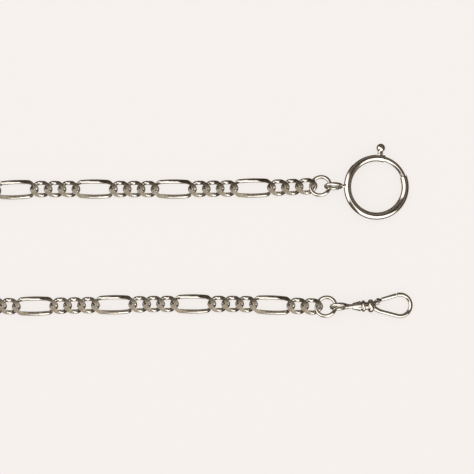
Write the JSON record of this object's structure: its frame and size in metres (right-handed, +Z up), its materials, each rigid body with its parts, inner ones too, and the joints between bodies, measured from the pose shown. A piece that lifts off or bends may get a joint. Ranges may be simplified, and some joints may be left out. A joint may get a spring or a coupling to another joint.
{
  "type": "pocket watch chain",
  "caption": "Slim watch chain of flat-cut curb links in a short and long pattern, with a spring ring clasp at one end and a swivel snap hook at the other.",
  "frame": {"origin": "centre of the whole chain's box, on the surface it lies on", "axes": "+X along the two straight runs towards the spring ring and the hook, +Y towards the run with the spring ring, +Z up"},
  "size_m": [0.159, 0.0533, 0.0057],
  "materials": {
    "polished_plate": "polished",
    "spring_steel": "satin"
  },
  "bodies": {
    "spring_ring": {"ring_tube": "polished_plate", "ring_eye": "polished_plate", "ring_spring": "spring_steel", "ring_spring_stop": "polished_plate"},
    "bolt": {"ring_bolt": "polished_plate", "ring_thumb_knob": "polished_plate"},
    "ring_link_a": {"ring_jump_ring": "polished_plate"},
    "link_01": {"short_link_01": "polished_plate"},
    "link_02": {"short_link_02": "polished_plate"},
    "link_03": {"short_link_03": "polished_plate"},
    "link_04": {"long_link_04": "polished_plate"},
    "link_05": {"short_link_05": "polished_plate"},
    "link_06": {"short_link_06": "polished_plate"},
    "link_07": {"short_link_07": "polished_plate"},
    "link_08": {"long_link_08": "polished_plate"},
    "link_09": {"short_link_09": "polished_plate"},
    "link_10": {"short_link_10": "polished_plate"},
    "link_11": {"short_link_11": "polished_plate"},
    "link_12": {"long_link_12": "polished_plate"},
    "link_13": {"short_link_13": "polished_plate"},
    "link_14": {"short_link_14": "polished_plate"},
    "link_15": {"short_link_15": "polished_plate"},
    "link_16": {"long_link_16": "polished_plate"},
    "link_17": {"short_link_17": "polished_plate"},
    "link_18": {"short_link_18": "polished_plate"},
    "link_19": {"short_link_19": "polished_plate"},
    "link_20": {"long_link_20": "polished_plate"},
    "link_21": {"short_link_21": "polished_plate"},
    "link_22": {"short_link_22": "polished_plate"},
    "link_23": {"short_link_23": "polished_plate"},
    "link_24": {"long_link_24": "polished_plate"},
    "link_25": {"short_link_25": "polished_plate"},
    "link_26": {"short_link_26": "polished_plate"},
    "link_27": {"short_link_27": "polished_plate"},
    "link_28": {"long_link_28": "polished_plate"},
    "link_29": {"short_link_29": "polished_plate"},
    "link_30": {"short_link_30": "polished_plate"},
    "link_31": {"short_link_31": "polished_plate"},
    "link_32": {"long_link_32": "polished_plate"},
    "link_33": {"short_link_33": "polished_plate"},
    "link_34": {"short_link_34": "polished_plate"},
    "link_35": {"short_link_35": "polished_plate"},
    "link_36": {"long_link_36": "polished_plate"},
    "link_37": {"short_link_37": "polished_plate"},
    "link_38": {"short_link_38": "polished_plate"},
    "link_39": {"short_link_39": "polished_plate"},
    "link_40": {"long_link_40": "polished_plate"},
    "link_41": {"short_link_41": "polished_plate"},
    "link_42": {"short_link_42": "polished_plate"},
    "link_43": {"short_link_43": "polished_plate"},
    "link_44": {"long_link_44": "polished_plate"},
    "link_45": {"short_link_45": "polished_plate"},
    "link_46": {"short_link_46": "polished_plate"},
    "ring_link_b": {"swivel_jump_ring": "polished_plate"},
    "swivel_eye": {"swivel_eye": "polished_plate"},
    "swivel_hook": {"swivel_barrel": "polished_plate", "hook_bow": "polished_plate", "gate_pin": "spring_steel", "gate_spring": "spring_steel"},
    "gate": {"hook_gate": "polished_plate"}
  },
  "joints": [
    {"name": "bolt_draw", "type": "hinge", "parent": "spring_ring", "child": "bolt", "pos_m": [0.06835, 0.01339, 0.00183], "axis": [0.0814, -0.0014, 0.9967], "range_deg": [0, 50], "stiffness_Nm_per_rad": 0.005, "springref_deg": -22.92, "deforming": ["ring_spring"]},
    {"name": "ring_link_a_sway", "type": "hinge", "parent": "spring_ring", "child": "ring_link_a", "pos_m": [0.05415, 0.01363, 0.00268], "axis": [0, 0, 1], "range_deg": [-12, 12]},
    {"name": "link_01_fold", "type": "hinge", "parent": "ring_link_a", "child": "link_01", "pos_m": [0.04903, 0.01372, 0.00103], "axis": [0.0523, -0.9986, 0], "range_deg": [-10, 10]},
    {"name": "link_02_sway", "type": "hinge", "parent": "link_01", "child": "link_02", "pos_m": [0.04479, 0.0135, 0.00103], "axis": [0, 0, 1], "range_deg": [-6, 6]},
    {"name": "link_03_fold", "type": "hinge", "parent": "link_02", "child": "link_03", "pos_m": [0.04055, 0.01328, 0.00103], "axis": [-0.0175, 0.9998, 0], "range_deg": [-25, 25]},
    {"name": "link_04_sway", "type": "hinge", "parent": "link_03", "child": "link_04", "pos_m": [0.0363, 0.0132, 0.00103], "axis": [0, 0, -1], "range_deg": [-6, 6]},
    {"name": "link_05_fold", "type": "hinge", "parent": "link_04", "child": "link_05", "pos_m": [0.02485, 0.013, 0.00103], "axis": [-0.0175, 0.9998, 0], "range_deg": [-25, 25]},
    {"name": "link_06_sway", "type": "hinge", "parent": "link_05", "child": "link_06", "pos_m": [0.0206, 0.01293, 0.00103], "axis": [0, 0, -1], "range_deg": [-6, 6]},
    {"name": "link_07_fold", "type": "hinge", "parent": "link_06", "child": "link_07", "pos_m": [0.01635, 0.01286, 0.00103], "axis": [0.0175, -0.9998, 0], "range_deg": [-25, 25]},
    {"name": "link_08_sway", "type": "hinge", "parent": "link_07", "child": "link_08", "pos_m": [0.0121, 0.01278, 0.00103], "axis": [0, 0, 1], "range_deg": [-6, 6]},
    {"name": "link_09_fold", "type": "hinge", "parent": "link_08", "child": "link_09", "pos_m": [0.00065, 0.01278, 0.00103], "axis": [0, -1, 0], "range_deg": [-25, 25]},
    {"name": "link_10_sway", "type": "hinge", "parent": "link_09", "child": "link_10", "pos_m": [-0.0036, 0.01278, 0.00103], "axis": [0, 0, 1], "range_deg": [-6, 6]},
    {"name": "link_11_fold", "type": "hinge", "parent": "link_10", "child": "link_11", "pos_m": [-0.00785, 0.01278, 0.00103], "axis": [0, 1, 0], "range_deg": [-25, 25]},
    {"name": "link_12_sway", "type": "hinge", "parent": "link_11", "child": "link_12", "pos_m": [-0.0121, 0.01278, 0.00103], "axis": [0, 0, -1], "range_deg": [-6, 6]},
    {"name": "link_13_fold", "type": "hinge", "parent": "link_12", "child": "link_13", "pos_m": [-0.02355, 0.01278, 0.00103], "axis": [0, 1, 0], "range_deg": [-25, 25]},
    {"name": "link_14_sway", "type": "hinge", "parent": "link_13", "child": "link_14", "pos_m": [-0.0278, 0.01278, 0.00103], "axis": [0, 0, -1], "range_deg": [-6, 6]},
    {"name": "link_15_fold", "type": "hinge", "parent": "link_14", "child": "link_15", "pos_m": [-0.03205, 0.01278, 0.00103], "axis": [0, -1, 0], "range_deg": [-25, 25]},
    {"name": "link_16_sway", "type": "hinge", "parent": "link_15", "child": "link_16", "pos_m": [-0.0363, 0.01278, 0.00103], "axis": [0, 0, 1], "range_deg": [-6, 6]},
    {"name": "link_17_fold", "type": "hinge", "parent": "link_16", "child": "link_17", "pos_m": [-0.04774, 0.01238, 0.00103], "axis": [0.0349, -0.9994, 0], "range_deg": [-25, 25]},
    {"name": "link_18_sway", "type": "hinge", "parent": "link_17", "child": "link_18", "pos_m": [-0.05199, 0.01223, 0.00103], "axis": [0, 0, 1], "range_deg": [-6, 6]},
    {"name": "link_19_fold", "type": "hinge", "parent": "link_18", "child": "link_19", "pos_m": [-0.05624, 0.01209, 0.00103], "axis": [-0.0349, 0.9994, 0], "range_deg": [-25, 25]},
    {"name": "link_20_sway", "type": "hinge", "parent": "link_19", "child": "link_20", "pos_m": [-0.06048, 0.01194, 0.00103], "axis": [0, 0, -1], "range_deg": [-6, 6]},
    {"name": "link_21_fold", "type": "hinge", "parent": "link_20", "child": "link_21", "pos_m": [-0.07113, 0.00773, 0.00103], "axis": [-0.6575, 0.7534, 0], "range_deg": [-15, 15]},
    {"name": "link_22_sway", "type": "hinge", "parent": "link_21", "child": "link_22", "pos_m": [-0.07434, 0.00494, 0.00103], "axis": [0, 0, -1], "range_deg": [-6, 6]},
    {"name": "link_23_fold", "type": "hinge", "parent": "link_22", "child": "link_23", "pos_m": [-0.07642, 0.00123, 0.00103], "axis": [0.9855, -0.1698, 0], "range_deg": [-15, 15]},
    {"name": "link_24_sway", "type": "hinge", "parent": "link_23", "child": "link_24", "pos_m": [-0.07714, -0.00296, 0.00103], "axis": [0, 0, 1], "range_deg": [-6, 6]},
    {"name": "link_25_fold", "type": "hinge", "parent": "link_24", "child": "link_25", "pos_m": [-0.0752, -0.01424, 0.00103], "axis": [0.8718, 0.4899, 0], "range_deg": [-15, 15]},
    {"name": "link_26_sway", "type": "hinge", "parent": "link_25", "child": "link_26", "pos_m": [-0.07311, -0.01795, 0.00103], "axis": [0, 0, 1], "range_deg": [-6, 6]},
    {"name": "link_27_fold", "type": "hinge", "parent": "link_26", "child": "link_27", "pos_m": [-0.06991, -0.02074, 0.00103], "axis": [-0.3674, -0.9301, 0], "range_deg": [-15, 15]},
    {"name": "link_28_sway", "type": "hinge", "parent": "link_27", "child": "link_28", "pos_m": [-0.06596, -0.0223, 0.00103], "axis": [0, 0, -1], "range_deg": [-6, 6]},
    {"name": "link_29_fold", "type": "hinge", "parent": "link_28", "child": "link_29", "pos_m": [-0.05452, -0.0227, 0.00103], "axis": [-0.0349, -0.9994, 0], "range_deg": [-25, 25]},
    {"name": "link_30_sway", "type": "hinge", "parent": "link_29", "child": "link_30", "pos_m": [-0.05027, -0.02285, 0.00103], "axis": [0, 0, -1], "range_deg": [-6, 6]},
    {"name": "link_31_fold", "type": "hinge", "parent": "link_30", "child": "link_31", "pos_m": [-0.04602, -0.023, 0.00103], "axis": [0.0349, 0.9994, 0], "range_deg": [-25, 25]},
    {"name": "link_32_sway", "type": "hinge", "parent": "link_31", "child": "link_32", "pos_m": [-0.04177, -0.02315, 0.00103], "axis": [0, 0, 1], "range_deg": [-6, 6]},
    {"name": "link_33_fold", "type": "hinge", "parent": "link_32", "child": "link_33", "pos_m": [-0.03033, -0.02295, 0.00103], "axis": [-0.0175, 0.9998, 0], "range_deg": [-25, 25]},
    {"name": "link_34_sway", "type": "hinge", "parent": "link_33", "child": "link_34", "pos_m": [-0.02608, -0.02287, 0.00103], "axis": [0, 0, 1], "range_deg": [-6, 6]},
    {"name": "link_35_fold", "type": "hinge", "parent": "link_34", "child": "link_35", "pos_m": [-0.02183, -0.0228, 0.00103], "axis": [0.0175, -0.9998, 0], "range_deg": [-25, 25]},
    {"name": "link_36_sway", "type": "hinge", "parent": "link_35", "child": "link_36", "pos_m": [-0.01758, -0.02272, 0.00103], "axis": [0, 0, -1], "range_deg": [-6, 6]},
    {"name": "link_37_fold", "type": "hinge", "parent": "link_36", "child": "link_37", "pos_m": [-0.00613, -0.02252, 0.00103], "axis": [0.0175, -0.9998, 0], "range_deg": [-25, 25]},
    {"name": "link_38_sway", "type": "hinge", "parent": "link_37", "child": "link_38", "pos_m": [-0.00188, -0.02245, 0.00103], "axis": [0, 0, -1], "range_deg": [-6, 6]},
    {"name": "link_39_fold", "type": "hinge", "parent": "link_38", "child": "link_39", "pos_m": [0.00237, -0.02238, 0.00103], "axis": [0, 1, 0], "range_deg": [-25, 25]},
    {"name": "link_40_sway", "type": "hinge", "parent": "link_39", "child": "link_40", "pos_m": [0.00662, -0.02238, 0.00103], "axis": [0, 0, 1], "range_deg": [-6, 6]},
    {"name": "link_41_fold", "type": "hinge", "parent": "link_40", "child": "link_41", "pos_m": [0.01807, -0.02238, 0.00103], "axis": [0, 1, 0], "range_deg": [-25, 25]},
    {"name": "link_42_sway", "type": "hinge", "parent": "link_41", "child": "link_42", "pos_m": [0.02232, -0.02238, 0.00103], "axis": [0, 0, 1], "range_deg": [-6, 6]},
    {"name": "link_43_fold", "type": "hinge", "parent": "link_42", "child": "link_43", "pos_m": [0.02657, -0.02238, 0.00103], "axis": [-0.0349, -0.9994, 0], "range_deg": [-25, 25]},
    {"name": "link_44_sway", "type": "hinge", "parent": "link_43", "child": "link_44", "pos_m": [0.03082, -0.02252, 0.00103], "axis": [0, 0, -1], "range_deg": [-6, 6]},
    {"name": "link_45_fold", "type": "hinge", "parent": "link_44", "child": "link_45", "pos_m": [0.04226, -0.02292, 0.00103], "axis": [-0.0349, -0.9994, 0], "range_deg": [-25, 25]},
    {"name": "link_46_sway", "type": "hinge", "parent": "link_45", "child": "link_46", "pos_m": [0.04651, -0.02307, 0.00103], "axis": [0, 0, -1], "range_deg": [-6, 6]},
    {"name": "ring_link_b_fold", "type": "hinge", "parent": "link_46", "child": "ring_link_b", "pos_m": [0.05076, -0.02322, 0.00103], "axis": [-0.0175, 0.9998, 0], "range_deg": [-10, 10]},
    {"name": "swivel_eye_sway", "type": "hinge", "parent": "ring_link_b", "child": "swivel_eye", "pos_m": [0.05458, -0.02315, 0.00298], "axis": [0, 0, 1], "range_deg": [-15, 15]},
    {"name": "swivel_spin", "type": "hinge", "parent": "swivel_eye", "child": "swivel_hook", "pos_m": [0.06764, -0.02293, 0.00191], "axis": [0.9965, 0.0174, -0.0815], "continuous": true},
    {"name": "gate_hinge", "type": "hinge", "parent": "swivel_hook", "child": "gate", "pos_m": [0.06891, -0.02135, 0.00181], "axis": [0.0815, 0.0014, 0.9967], "range_deg": [-28, 0], "stiffness_Nm_per_rad": 0.0005, "springref_deg": 20.05, "deforming": ["gate_spring"]}
  ]
}
